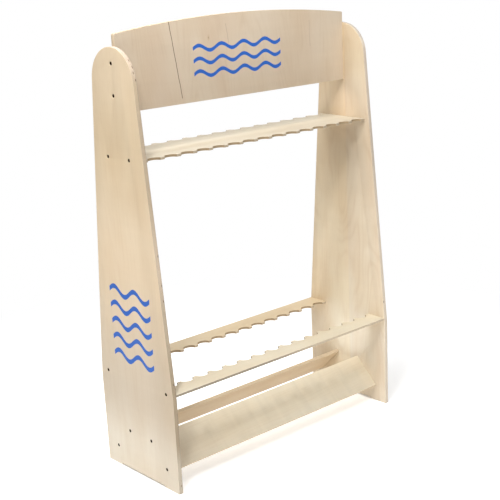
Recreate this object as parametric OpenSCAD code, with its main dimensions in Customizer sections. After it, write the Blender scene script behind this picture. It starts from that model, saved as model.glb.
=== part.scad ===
// Free-standing rack for fishing rods, made of birch plywood.
// Two tapered side panels carry a header board, an upper shelf notched along both long edges,
// two lower rails notched along their inner edges, and two sloping butt boards.
// Countersunk screws go through the side panels into the ends of the boards.
// Lengths are in millimetres. X runs along the width, +Y to the rear and +Z up.
// The origin is on the floor, midway between the panels and midway in depth.

/* [Rack] */
// Width over the two side panels
rack_w = 800; // [500:5:1200]

/* [Side panels] */
// Thickness of a side panel
panel_t = 12; // [9:0.5:18]
// Height of a side panel
panel_h = 1125; // [950:5:1300]
// Depth of a side panel between the floor and its knee
panel_d = 313; // [280:1:380]
// Height of the knee, where the panel starts to taper
knee_h = 260; // [200:5:320]
// Radius of the round crown of a panel
crown_r = 86; // [70:1:110]
// Length of each foot along the floor
foot_l = 61; // [40:1:90]
// Height of the relief between the two feet
relief_h = 4; // [2:0.5:12]

/* [Header board] */
// Thickness of the header board
header_t = 12; // [6:0.5:18]
// Height of the header board at its ends
header_end_h = 189.5; // [165:0.5:230]
// Rise of the arched top edge over its ends
header_rise = 24; // [10:1:45]
// Distance from the crown of the panels down to the lower edge of the header
header_drop = 160; // [145:1:200]
// Radius of the two top corners of the header
header_corner_r = 3.5; // [1:0.5:8]
// Height of the lower header screw above the lower edge
header_screw_low = 43.6; // [15:0.2:60]
// Distance between the two header screws
header_screw_gap = 77; // [40:1:85]

/* [Upper shelf] */
// Thickness of the upper shelf
shelf_t = 6.5; // [6:0.5:12]
// Distance from the sloping edges of the panels in to the flat tips of the shelf
shelf_inset = 15; // [8:0.5:28]
// Free height between the shelf and the header above it
shelf_gap = 105.5; // [60:0.5:200]
// Distance between the two screws in each end of the shelf
shelf_screw_gap = 88; // [50:1:100]
// Depth of a notch in the shelf
shelf_notch_deep = 14.2; // [8:0.2:18]

/* [Lower rails] */
// Thickness of a lower rail
rail_t = 6.5; // [6:0.5:12]
// Width of a lower rail over its flat tips
rail_d = 66; // [50:1:80]
// Height of the underside of the rails above the floor
rail_h = 265.5; // [240:0.5:400]
// Distance from the outer edge of a rail to its screws
rail_screw_inset = 28.7; // [15:0.1:30]
// Depth of a notch in a lower rail
rail_notch_deep = 16; // [8:0.2:18]

/* [Rod notches] */
// Radius of every notch
notch_r = 20; // [18:0.5:22]
// Distance between the middles of two notches
notch_pitch = 50.7; // [46:0.1:80]
// Least plain stretch between the end of a board and its first notch
notch_end_min = 10; // [6:0.5:30]

/* [Butt boards] */
// Thickness of a butt board
butt_t = 9; // [6:0.5:12]
// Length of a butt board along its slope
butt_l = 107; // [80:1:120]
// Angle of a butt board from the level
butt_slope = 45; // [35:1:55]
// Distance from the front or rear edge of the panels in to the middle of a butt board
butt_inset = 79; // [68:0.5:88]
// Height of the middle of a butt board above the floor
butt_mid_z = 84.5; // [70:0.5:120]
// Distance from each long edge of a butt board to its screw
butt_screw_inset = 10.3; // [7:0.1:20]

/* [Screws] */
// Diameter of the shank of a screw
screw_d = 3.5; // [3:0.1:4]
// Length of a screw
screw_l = 35; // [30:1:60]
// Diameter of the head of a screw
screw_head_d = 9; // [6.5:0.1:9]
// Depth of the head below the face of the panel
screw_sink = 1.2; // [0.4:0.1:3]
// Clearance between a screw and its hole, on the radius
screw_clear = 0.1; // [0.05:0.05:0.2]

/* [Hidden] */

$fn = 64;

// How far a cutter reaches past the face that it cuts
cut = 1;
// Finish colours of the birch and of the screws
birch = [0.90, 0.82, 0.68];
birch_inner = [0.94, 0.87, 0.74];
screw_black = [0.10, 0.09, 0.08];

// Boards between the panels
inner_w = rack_w - 2 * panel_t;
half_inner_w = inner_w / 2;

// Crown of the side panels, and the point where the taper runs into it
crown_z = panel_h - crown_r;
knee_from_crown = [panel_d / 2, knee_h - crown_z];
tangent_angle = atan2(knee_from_crown[1], knee_from_crown[0]) + acos(crown_r / norm(knee_from_crown));
tangent_y = crown_r * cos(tangent_angle);
tangent_z = crown_z + crown_r * sin(tangent_angle);

// Half the depth of a side panel on its taper, at height z
function taper_half_d(z) =
    panel_d / 2 + (tangent_y - panel_d / 2) * (z - knee_h) / (tangent_z - knee_h);

// Header board
header_z = panel_h - header_drop;
arch_r = (pow(half_inner_w, 2) + pow(header_rise, 2)) / (2 * header_rise);
arch_z = header_end_h + header_rise - arch_r;
corner_x = half_inner_w - header_corner_r;
corner_z = arch_z + sqrt(pow(arch_r - header_corner_r, 2) - pow(corner_x, 2));
arch_end_x = corner_x * arch_r / (arch_r - header_corner_r);

// Upper shelf and lower rails
shelf_z = header_z - shelf_gap - shelf_t;
shelf_half_d = taper_half_d(shelf_z + shelf_t) - shelf_inset;
rail_edge_y = taper_half_d(max(knee_h, rail_h + rail_t));

// Notches
shelf_notch_half_w = sqrt(pow(notch_r, 2) - pow(notch_r - shelf_notch_deep, 2));
rail_notch_half_w = sqrt(pow(notch_r, 2) - pow(notch_r - rail_notch_deep, 2));
notch_half_w = max(shelf_notch_half_w, rail_notch_half_w);
notch_count = floor((inner_w - 2 * notch_end_min - 2 * notch_half_w) / notch_pitch) + 1;

// Screws: the head is a 90 degree cone, so it loses as much radius as it gains depth
screw_r = screw_d / 2;
screw_head_r = screw_head_d / 2;
screw_head_h = screw_head_r - screw_r;
screw_tip_h = 4;
screw_tip_r = 0.3;
recess_l = screw_head_d * 0.55;
recess_w = 0.9;
recess_h = 1.7;
pilot_extra = 2;

// Places of the screws in the Y and Z of a side panel
header_screw_at = [
    [0, header_z + header_screw_low],
    [0, header_z + header_screw_low + header_screw_gap]
];
shelf_screw_at = [for (side = [-1, 1]) [side * shelf_screw_gap / 2, shelf_z + shelf_t / 2]];
butt_screw_run = butt_l / 2 - butt_screw_inset;
butt_mid_y = panel_d / 2 - butt_inset;
function rail_screw_at(side) = [[side * (rail_edge_y - rail_screw_inset), rail_h + rail_t / 2]];
function butt_screw_at(side) = [
    for (end = [-1, 1]) [
        side * (butt_mid_y - end * butt_screw_run * cos(butt_slope)),
        butt_mid_z + end * butt_screw_run * sin(butt_slope)
    ]
];
all_screw_at = concat(
    header_screw_at, shelf_screw_at, rail_screw_at(-1), rail_screw_at(1), butt_screw_at(-1), butt_screw_at(1)
);

// One screw along +Z, with the face of the panel at z = 0
module screw() {
    difference() {
        rotate_extrude() polygon([
            [0, screw_sink],
            [screw_head_r, screw_sink],
            [screw_r, screw_sink + screw_head_h],
            [screw_r, screw_sink + screw_l - screw_tip_h],
            [screw_tip_r, screw_sink + screw_l],
            [0, screw_sink + screw_l]
        ]);
        for (turn = [0, 90]) rotate([0, 0, turn])
            translate([-recess_l / 2, -recess_w / 2, screw_sink - cut]) cube([recess_l, recess_w, recess_h + cut]);
    }
}

// The hole that the screw needs, with its countersink, along +Z from the face of the panel
module screw_hole() {
    sink_r = screw_head_r + screw_sink + screw_clear;
    hole_r = screw_r + screw_clear;
    rotate_extrude() polygon([
        [0, -cut],
        [sink_r + cut, -cut],
        [hole_r, sink_r - hole_r],
        [hole_r, screw_sink + screw_l + pilot_extra],
        [0, screw_sink + screw_l + pilot_extra]
    ]);
}

// Puts what is modelled along +Z at each listed place, pointing in from the left panel's outer face
module at_left(places) {
    for (place = places) translate([-rack_w / 2, place[0], place[1]]) rotate([0, 90, 0]) children();
}

// The same, pointing in from the right panel's outer face
module at_right(places) {
    mirror([1, 0, 0]) at_left(places) children();
}

// Outline of a side panel, drawn with its depth along X and its height along Y
module panel_outline() {
    relief_w = panel_d - 2 * foot_l;
    difference() {
        union() {
            polygon([
                [-panel_d / 2, 0],
                [panel_d / 2, 0],
                [panel_d / 2, knee_h],
                [tangent_y, tangent_z],
                [-tangent_y, tangent_z],
                [-panel_d / 2, knee_h]
            ]);
            translate([0, crown_z]) circle(r = crown_r);
        }
        translate([-relief_w / 2, -cut]) square([relief_w, relief_h + cut]);
    }
}

module left_panel_solid() {
    difference() {
        translate([-rack_w / 2, 0, 0]) rotate([90, 0, 90]) linear_extrude(height = panel_t) panel_outline();
        at_left(all_screw_at) screw_hole();
    }
}

module left_side_panel() {
    color(birch) left_panel_solid();
}

module right_side_panel() {
    color(birch) mirror([1, 0, 0]) left_panel_solid();
}

// Outline of the header, with its lower edge on the X axis
module header_outline() {
    intersection() {
        translate([-arch_end_x, 0]) square([2 * arch_end_x, header_end_h + header_rise + cut]);
        translate([0, arch_z]) circle(r = arch_r, $fn = 360);
    }
    translate([-half_inner_w, 0]) square([inner_w, corner_z]);
    for (side = [-1, 1]) translate([side * corner_x, corner_z]) circle(r = header_corner_r);
}

module header_board() {
    color(birch) difference() {
        translate([0, header_t / 2, header_z]) rotate([90, 0, 0]) linear_extrude(height = header_t) header_outline();
        at_left(header_screw_at) screw_hole();
        at_right(header_screw_at) screw_hole();
    }
}

// Cutters of a row of notches that reach deep into a board from its edge at y = 0, towards -Y
module notch_row(deep) {
    for (i = [0 : notch_count - 1])
        translate([(i - (notch_count - 1) / 2) * notch_pitch, notch_r - deep]) circle(r = notch_r);
}

module upper_rod_shelf() {
    color(birch_inner) difference() {
        translate([0, 0, shelf_z]) linear_extrude(height = shelf_t) difference() {
            translate([-half_inner_w, -shelf_half_d]) square([inner_w, 2 * shelf_half_d]);
            translate([0, shelf_half_d]) notch_row(shelf_notch_deep);
            mirror([0, 1]) translate([0, shelf_half_d]) notch_row(shelf_notch_deep);
        }
        at_left(shelf_screw_at) screw_hole();
        at_right(shelf_screw_at) screw_hole();
    }
}

// The rail on the front side; its notches open towards the middle of the rack
module front_rail_solid() {
    difference() {
        translate([0, 0, rail_h]) linear_extrude(height = rail_t) difference() {
            translate([-half_inner_w, -rail_edge_y]) square([inner_w, rail_d]);
            translate([0, rail_d - rail_edge_y]) notch_row(rail_notch_deep);
        }
        at_left(rail_screw_at(-1)) screw_hole();
        at_right(rail_screw_at(-1)) screw_hole();
    }
}

module front_rod_rail() {
    color(birch_inner) front_rail_solid();
}

module rear_rod_rail() {
    color(birch_inner) mirror([0, 1, 0]) front_rail_solid();
}

// The sloping board on the front side; its upper edge leans towards the middle of the rack
module front_butt_solid() {
    difference() {
        translate([0, -butt_mid_y, butt_mid_z]) rotate([butt_slope, 0, 0])
            cube([inner_w, butt_l, butt_t], center = true);
        at_left(butt_screw_at(-1)) screw_hole();
        at_right(butt_screw_at(-1)) screw_hole();
    }
}

module front_butt_board() {
    color(birch) front_butt_solid();
}

module rear_butt_board() {
    color(birch) mirror([0, 1, 0]) front_butt_solid();
}

module screws_left(places) {
    color(screw_black) at_left(places) screw();
}

module screws_right(places) {
    color(screw_black) at_right(places) screw();
}

left_side_panel();
right_side_panel();
header_board();
upper_rod_shelf();
front_rod_rail();
rear_rod_rail();
front_butt_board();
rear_butt_board();
screws_left(header_screw_at);  // header_screws_left
screws_right(header_screw_at);  // header_screws_right
screws_left(shelf_screw_at);  // shelf_screws_left
screws_right(shelf_screw_at);  // shelf_screws_right
screws_left(rail_screw_at(-1));  // front_rail_screw_left
screws_right(rail_screw_at(-1));  // front_rail_screw_right
screws_left(rail_screw_at(1));  // rear_rail_screw_left
screws_right(rail_screw_at(1));  // rear_rail_screw_right
screws_left(butt_screw_at(-1));  // front_butt_screws_left
screws_right(butt_screw_at(-1));  // front_butt_screws_right
screws_left(butt_screw_at(1));  // rear_butt_screws_left
screws_right(butt_screw_at(1));  // rear_butt_screws_right
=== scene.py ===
# Finish, light and camera for a free-standing fishing rod rack in birch plywood.
# Lengths are in metres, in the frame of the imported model: +X right, +Y rear, +Z up.
import math

import bmesh
import bpy
from mathutils import Matrix, Vector


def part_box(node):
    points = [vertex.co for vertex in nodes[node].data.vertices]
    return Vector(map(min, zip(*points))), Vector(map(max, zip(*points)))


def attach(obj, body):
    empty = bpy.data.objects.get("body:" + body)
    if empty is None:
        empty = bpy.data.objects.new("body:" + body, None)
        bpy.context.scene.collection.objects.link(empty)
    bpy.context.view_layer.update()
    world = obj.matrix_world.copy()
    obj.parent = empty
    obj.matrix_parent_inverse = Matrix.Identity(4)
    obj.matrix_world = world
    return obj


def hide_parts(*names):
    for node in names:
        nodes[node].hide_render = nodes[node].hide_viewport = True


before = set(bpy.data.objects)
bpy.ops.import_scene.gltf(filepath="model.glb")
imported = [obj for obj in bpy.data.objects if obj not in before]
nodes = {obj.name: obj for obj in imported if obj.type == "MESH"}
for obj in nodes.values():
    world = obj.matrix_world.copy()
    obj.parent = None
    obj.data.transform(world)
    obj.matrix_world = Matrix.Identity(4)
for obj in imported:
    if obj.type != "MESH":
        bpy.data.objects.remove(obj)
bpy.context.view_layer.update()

BODY = "root"
MM = 0.001
ROUNDING = 1e-6

# Boards: every arris is rounded, the panels' most, and those of the feet and screw holes least
PANEL_ARRIS = 5 * MM
BOARD_ARRIS = 1.1 * MM
NOTCHED_ARRIS = 0.5 * MM
SLIGHT_ARRIS = 0.3 * MM
HOLE_ROOM = 8 * MM
FOOT_ROOM = 6 * MM
ARRIS_STEPS = 4
ARRIS_FROM = math.radians(35)
FLAT_WITHIN = math.radians(0.4)
MERGE_WITHIN = 0.005 * MM

# Butt boards, as the solids have them
BUTT_T = 9 * MM
BUTT_SLOPE = math.radians(45)

# Notches, as the solids have them. Their cutters are CUT_THROUGH times as long as the board is thick
NOTCH_R = 20 * MM
NOTCH_PITCH = 50.7 * MM
NOTCH_END_MIN = 10 * MM
SHELF_NOTCH_DEEP = 14.2 * MM
RAIL_NOTCH_DEEP = 16 * MM
NOTCHES_IN_ROW = 15
NOTCH_SIDES = 96
CUT_THROUGH = 3.0

# Screws: a flat head with a narrow rim, a cone, a plain shank, a thinner root under the thread, and a tip.
# The thread's middle lies inside the shank's radius by THREAD_SUNK of its height
SCREW_L = 35 * MM
SCREW_SIDES = 40
HEAD_R = 4.5 * MM
HEAD_RIM_IN = 0.25 * MM
HEAD_RIM_FROM = 0.1 * MM
HEAD_RIM_TO = 0.35 * MM
SHANK_R = 1.75 * MM
ROOT_R = SHANK_R * 0.75
ROOT_RUN = 0.5 * MM
PILOT_R = 1.85 * MM
PILOT_L = 50 * MM
PILOT_EXTRA = 2 * MM
PILOT_SIDES = 24
TIP_L = 4 * MM
TIP_R = 0.3 * MM
THREAD_PITCH = 1.8 * MM
THREAD_HEIGHT = 0.45 * MM
THREAD_FROM = 7 * MM
THREAD_SUNK = 0.6
THREAD_STEPS = 12
THREAD_SIDES = 3
RECESS_L = 4.95 * MM
RECESS_W = 0.9 * MM
RECESS_DEEP = 1.7 * MM

# Plies in each thickness of board
PANEL_PLIES = 9
BUTT_PLIES = 7
THIN_PLIES = 5

# Camera, solved from the photograph
CAMERA_AT = Vector((-1.9085, -2.2361, 1.3511))
CAMERA_YAW = math.radians(42.713)
CAMERA_PITCH = math.radians(16.883)
CAMERA_ROLL = math.radians(-2.069)
CAMERA_LENS = 79.45
CAMERA_FILM = 36
CAMERA_SHIFT = (-0.0791, 0.0513)

# Light: name, place, what it points at, size, power and colour
WHITE = (1.0, 1.0, 1.0)
LIGHTS = (
    ("ceiling left", (-1.85, 0.65, 3.2), (-1.85, 0.65, 0.0), (2.5, 2.5), 56, WHITE),
    ("ceiling right", (0.65, -0.6, 3.2), (0.65, -0.6, 0.0), (2.5, 5.0), 25, WHITE),
    ("above the rack", (-0.2, -0.2, 2.6), (-0.2, -0.2, 0.0), (1.6, 1.6), 29, WHITE),
    ("key", (-1.95, -1.34, 3.19), (0.0, 0.0, 0.75), (0.45, 0.45), 35, WHITE),
    ("overhead", (-1.24, -0.62, 3.85), (0.0, 0.0, 0.75), (0.22, 0.22), 26, WHITE),
    ("low front", (-1.1, -2.9, 0.40), (0.0, 0.0, 0.40), (3.0, 0.8), 26.5, WHITE),
)
SKY_STRENGTH = 0.017

# Floor: where it glows, how strongly, and where it fades into white, by distance from the middle. The
# glow is CONTACT_GLOW of itself under the feet, and whole CONTACT_REACH off them
FLOOR_HALF = 12.0
FLOOR_ROUGH = 0.9
FLOOR_GLOSS = 0.1
FLOOR_GLOW_UNDER = 0.28
FLOOR_GLOW_AROUND = 0.44
FLOOR_GLOW_STEP = (0.30, 0.60)
FLOOR_GLOW_END = (0.90, 1.50)
FLOOR_GLOW_SEEN = 0.50
FLOOR_FADE = (0.6, 1.5)
CONTACT_REACH = 6 * MM
CONTACT_GLOW = 0.1


def srgb(red, green, blue):
    """A colour as it shows on a screen, from 0 to 255, as Blender's linear colour."""
    linear = [
        c / 12.92 if c <= 0.04045 else ((c + 0.055) / 1.055) ** 2.4
        for c in (v / 255 for v in (red, green, blue))
    ]
    return (*linear, 1.0)


# Wood of each board, from its foot or left end onward: place along the grain, from the board's middle. The
# right panel's and the front butt board's tones also hold painted light and shade
LEFT_PANEL_WOOD = (
    (-0.50, srgb(226, 216, 198)), (-0.34, srgb(210, 195, 173)), (0.04, srgb(236, 216, 186)),
    (0.34, srgb(221, 201, 169)), (0.50, srgb(223, 203, 173)),
)
# The right panel's tones hold painted light and shade: the pale stop at -0.37 is painted light under the
# front rail, the dark stop at 0.25 painted shade under the shelf, and the stop at 0.34 paints light into the
# header's shadow
RIGHT_PANEL_WOOD_LIGHT_AND_SHADE = (
    (-0.50, srgb(234, 221, 197)), (-0.37, srgb(246, 236, 214)), (-0.26, srgb(238, 224, 196)),
    (0.00, srgb(232, 217, 189)), (0.25, srgb(212, 194, 165)), (0.34, srgb(222, 205, 178)),
    (0.48, srgb(207, 190, 159)),
)
HEADER_WOOD = ((0.00, srgb(213, 197, 175)),)
SHELF_WOOD = ((0.00, srgb(198, 189, 170)),)
FRONT_RAIL_WOOD = ((0.00, srgb(226, 216, 193)),)
REAR_RAIL_WOOD = ((0.00, srgb(232, 214, 182)),)
# The front butt board darkens towards its left end: painted shade, where the left panel shades it
FRONT_BUTT_WOOD_AND_SHADE = ((-0.37, srgb(210, 198, 177)), (-0.16, srgb(233, 223, 201)))
REAR_BUTT_WOOD = ((0.00, srgb(222, 202, 172)),)

# Tints multiply the wood. Those of the rims are given along the board, like the wood
TAN_TINT = (0.88, 0.79, 0.68, 1.0)
PINK_TINT = (0.91, 0.82, 0.78, 1.0)
LINE_TINT = (0.74, 0.62, 0.50, 1.0)
# The tint of the painted shade on the far arris, which turns away from the light
FAR_ARRIS_SHADE_TINT = (0.45, 0.46, 0.50, 1.0)
NOTCH_WALL_TINT = (0.74, 0.66, 0.54, 1.0)
NOTCH_WALL_FROM = 2.5 * MM
# A pale patch on the right panel, and painted light where it reaches behind the seam
PALE_WOOD_AND_LIGHT_TINT = (1.22, 1.22, 1.22, 1.0)
FRONT_SHEET_TINT = (0.96, 0.98, 1.04, 1.0)
FRONT_STRIP_TINT = (0.92, 0.91, 0.90, 1.0)
PLAIN_RIM = ((0.0, (1.0, 1.0, 1.0, 1.0)),)
LEFT_PANEL_RIM = (
    (-0.50, (0.80, 0.86, 0.96, 1.0)), (-0.42, (0.58, 0.57, 0.56, 1.0)), (-0.28, (0.58, 0.57, 0.55, 1.0)),
    (-0.10, (0.76, 0.77, 0.80, 1.0)), (0.04, (0.98, 0.98, 1.05, 1.0)), (0.22, (0.80, 0.79, 0.80, 1.0)),
    (0.36, (0.78, 0.77, 0.79, 1.0)), (0.47, (0.90, 0.88, 0.86, 1.0)), (0.51, (0.93, 0.92, 0.98, 1.0)),
    (0.545, (0.86, 0.84, 0.91, 1.0)), (0.56, (0.88, 0.92, 1.08, 1.0)),
)
RIGHT_PANEL_RIM = (
    (-0.20, (1.13, 1.21, 1.38, 1.0)), (0.00, (1.16, 1.23, 1.40, 1.0)), (0.22, (0.95, 1.01, 1.16, 1.0)),
    (0.49, (1.08, 1.14, 1.32, 1.0)), (0.508, (1.12, 1.22, 1.42, 1.0)), (0.53, (0.79, 0.86, 1.03, 1.0)),
    (0.56, (0.66, 0.71, 0.81, 1.0)),
)
SHELF_RIM = ((0.0, (0.71, 0.72, 0.73, 1.0)),)
FRONT_RAIL_RIM = ((-0.12, (0.46, 0.48, 0.50, 1.0)), (0.16, (0.93, 0.95, 0.99, 1.0)))
REAR_RAIL_RIM = ((0.0, (0.86, 0.87, 0.88, 1.0)),)

# Colours of the plies, the print, the screws and the floor
PLY_PALE = srgb(220, 203, 176)
PLY_BROWN = srgb(190, 168, 138)
PLY_GLUE = srgb(138, 110, 82)
SEAM_DARK = srgb(104, 80, 58)
VOID_DARK = srgb(78, 58, 42)
INK_BLUE = srgb(40, 98, 190)
STEEL_BLACK = srgb(18, 7, 0)
STEEL_WORN = srgb(44, 22, 4)
FLOOR_WHITE = srgb(246, 246, 246)

# Wood pattern: waves per metre along the grain, across it and through the board, and for each layer the
# value at which it starts to show and that at which it shows in full
SWAY_WAVES = (1.3, 3.2, 1.0)
SWAY = 0.05
BAND_WAVES, BAND_SHOWS = (2.2, 11.0, 1.0), (0.34, 0.70)
BLOTCH_WAVES, BLOTCH_SHOWS = (6.0, 9.0, 2.0), (0.38, 0.72)
BLOTCH_SHARE = 0.8
BLUSH_WAVES, BLUSH_SHOWS = (1.6, 7.0, 2.0), (0.45, 0.72)
RING_WAVES, RING_SHOWS = (1.6, 7.5, 1.0), (0.18, 0.5)
RING_BREAK_WAVES, RING_BREAK_SHOWS = (4.0, 24.0, 1.0), (0.35, 0.75)
STREAK_WAVES, STREAK_SHOWS = (3.5, 105.0, 4.0), (0.48, 0.72)
FIBRE_WAVES, FIBRE_SHOWS = (14.0, 430.0, 9.0), (0.46, 0.74)
FIBRE_DARK, FIBRE_HIGH = 0.12, 0.4
PORE_WAVES, PORE_SHOWS = (75.0, 1300.0, 75.0), (0.66, 0.76)
PORE_DARK, PORE_DEEP = 0.22, 0.5
CURL_WAVES = (52.0, 5.0, 4.0)
WOOD_ROUGH, BAND_ROUGH, PORE_ROUGH, RIM_ROUGH = 0.50, 0.12, 0.1, 0.2
WOOD_GLOSS = 0.35
BUMP_STRENGTH = 0.5
BUMP_HEIGHT = 0.12 * MM

# Plies at the rims, in the same way
PLY_WANDER_WAVES, PLY_WANDER = (18.0, 18.0, 60.0), 0.30
PLY_SPECK_WAVES, PLY_STREAK_WAVES = (900.0, 900.0, 500.0), (25.0, 25.0, 700.0)
PLY_MARK_SHOWS, PLY_MARK_DARK = (0.45, 0.75), 0.3
PLY_CROSS_DARK = 0.7
PLY_SPECK_HIGH = 0.25
GLUE_LINE, GLUE_DARK, GLUE_DEEP = (0.40, 0.5), 0.4, 0.3

# Where a board's face turns into its rim, and where painted shade darkens its far arris, which turns away
# from the light, by how far the surface faces out
RIM_TURN = (0.68, 0.30)
FAR_ARRIS_SHADE_FROM = (0.05, 0.35)
FAR_ARRIS_SHADE_TO = (0.90, 0.98)

# Holes in the plies of the panels' rims: place along the panel from its middle, and through it
LEFT_PANEL_GAPS = (
    (0.533, 0.0020), (0.518, 0.0032), (0.505, 0.0012), (0.488, 0.0034), (0.066, 0.0036), (-0.008, 0.0038),
    (-0.047, 0.0030), (-0.262, 0.0010), (-0.541, 0.0020),
)
RIGHT_PANEL_GAPS = ((-0.241, -0.0034),)
RIM_GAP_SQUEEZE = (0.3, 0.0, 1.0)
RIM_GAP_R = 1.2 * MM

# Marks on the header, measured from the middle of its lower edge: along is up, across is to the right.
# Each seam has its darkness beside it, and a print is placed by (across, along)
SEAM_SHIVER_WAVES, SEAM_SHIVER = (35.0, 0.0, 0.0), 0.003
SEAM_SHARP = 0.4
SEAM_DEEP = 3.0
HEADER_SEAMS = (
    ({"Across": -0.1930, "Slant": -0.1530, "Width": 0.0013, "From": 0.014, "To": 1.0}, 1.0),
    ({"Across": -0.0135, "Slant": -0.1500, "Width": 0.0010, "From": 0.138, "To": 0.188}, 0.35),
    ({"Across": 0.2610, "Slant": -0.0200, "Width": 0.0010, "From": 0.105, "To": 0.175}, 0.25),
)
KNOT_SQUEEZE = (0.45, 1.0, 0.0)
KNOT_CORE, KNOT_RING = (0.5, 1.1), (1.0, 4.0)
KNOT_CORE_DARK, KNOT_RING_DARK = 0.5, 0.35
HEADER_KNOT_AT = (0.157, -0.1005, 0.0)
HEADER_KNOT_R = 0.0013
HEADER_PRINT_AT = (-0.003, 0.101)
HEADER_PRINT = {
    "Half width": 0.150, "Half height": 0.042, "Wavelength": 0.075,
    "Swing": 0.007, "Spacing": 0.032, "Line": 0.0048,
}

# Marks on the panels, measured from the panel's middle
PANEL_PRINT_AT = (0.0, -0.144)
PANEL_PRINT = {
    "Half width": 0.086, "Half height": 0.095, "Wavelength": 0.086,
    "Swing": 0.011, "Spacing": 0.044, "Line": 0.0065,
}
FRONT_STRIP = (0.03, 0.11)
FRONT_SHEET = (0.008, 0.016)
# Near the shelf the front veneer has a pale patch, and behind the seam a share of it is painted light in the
# header's shadow
PALE_WOOD_AND_LIGHT_AT = (0.325, 0.008, 0.0)
PALE_WOOD_AND_LIGHT_REACH = (0.030, 0.075)
PALE_WOOD_AND_LIGHT_CUT = (0.0, 0.01)
PAINTED_LIGHT_BEHIND = 0.6

# Screw finish
STEEL_WAVES = (700.0, 700.0, 700.0)
STEEL_ROUGH, STEEL_ROUGH_MORE = 0.60, 0.2
STEEL_GLOSS = 0.02


class Tree:
    """Adds nodes to one node tree, and links or sets their inputs."""

    def __init__(self, tree):
        self.tree = tree

    def add(self, kind, inputs=None, **settings):
        made = self.tree.nodes.new(kind)
        for name, value in settings.items():
            setattr(made, name, value)
        for key, value in (inputs or {}).items():
            for one in value if isinstance(value, list) else [value]:
                if isinstance(one, bpy.types.NodeSocket):
                    self.link(one, made.inputs[key])
                else:
                    made.inputs[key].default_value = one
        return made

    def link(self, output, target):
        self.tree.links.new(output, target)

    def group(self, tree, inputs):
        return self.add("ShaderNodeGroup", inputs, node_tree=tree).outputs

    def math(self, operation, *values):
        return self.add("ShaderNodeMath", dict(enumerate(values)), operation=operation).outputs[0]

    def vector(self, operation, *values):
        made = self.add("ShaderNodeVectorMath", dict(enumerate(values)), operation=operation)
        return made.outputs["Value" if operation in ("DOT_PRODUCT", "LENGTH", "DISTANCE") else "Vector"]

    def xyz(self, x, y, z):
        return self.add("ShaderNodeCombineXYZ", {0: x, 1: y, 2: z}).outputs[0]

    def split(self, vector):
        return self.add("ShaderNodeSeparateXYZ", {0: vector}).outputs

    def step(self, value, low, high, to_low=0.0, to_high=1.0):
        """A smooth step of value from low to high."""
        made = self.add(
            "ShaderNodeMapRange",
            {"Value": value, "From Min": low, "From Max": high, "To Min": to_low, "To Max": to_high},
            interpolation_type="SMOOTHSTEP",
        )
        return made.outputs[0]

    def mix(self, factor, first, second, blend="MIX"):
        inputs = {0: factor, 6: first, 7: second}
        return self.add("ShaderNodeMix", inputs, data_type="RGBA", blend_type=blend).outputs[2]

    def difference(self, solid, cutters):
        """The solid less the cutters, in a geometry tree."""
        inputs = {0: solid, 1: cutters}
        made = self.add("GeometryNodeMeshBoolean", inputs, operation="DIFFERENCE", solver="EXACT")
        return made.outputs[0]

    def tint(self, amount, color, tint):
        """Multiplies the colour by the tint, as far as the amount says."""
        return self.mix(amount, color, tint, blend="MULTIPLY")

    def noise(self, position, stretch, detail=2.0, rough=0.5):
        """Noise whose scale along each axis is given in waves per metre."""
        scaled = self.vector("MULTIPLY", position, stretch)
        inputs = {"Vector": scaled, "Scale": 1.0, "Detail": detail, "Roughness": rough}
        return self.add("ShaderNodeTexNoise", inputs).outputs[0]


def new_group(name, kind, inputs, outputs):
    """An empty node group with named sockets; each input is (socket kind, name, default)."""
    tree = bpy.data.node_groups.new(name, kind)
    for socket, label, default in inputs:
        made = tree.interface.new_socket(label, in_out="INPUT", socket_type=socket)
        if default is not None:
            made.default_value = default
    for socket, label in outputs:
        tree.interface.new_socket(label, in_out="OUTPUT", socket_type=socket)
    build = Tree(tree)
    return tree, build, build.add("NodeGroupInput").outputs, build.add("NodeGroupOutput").inputs


FLOAT, VECTOR, COLOR, INTEGER, SWITCH = (
    "NodeSocketFloat", "NodeSocketVector", "NodeSocketColor", "NodeSocketInt", "NodeSocketBool"
)
GEOMETRY, MATERIAL, OBJECT = "NodeSocketGeometry", "NodeSocketMaterial", "NodeSocketObject"


# Shader groups: position is along the grain in X, across it in Y and through the board in Z

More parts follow.
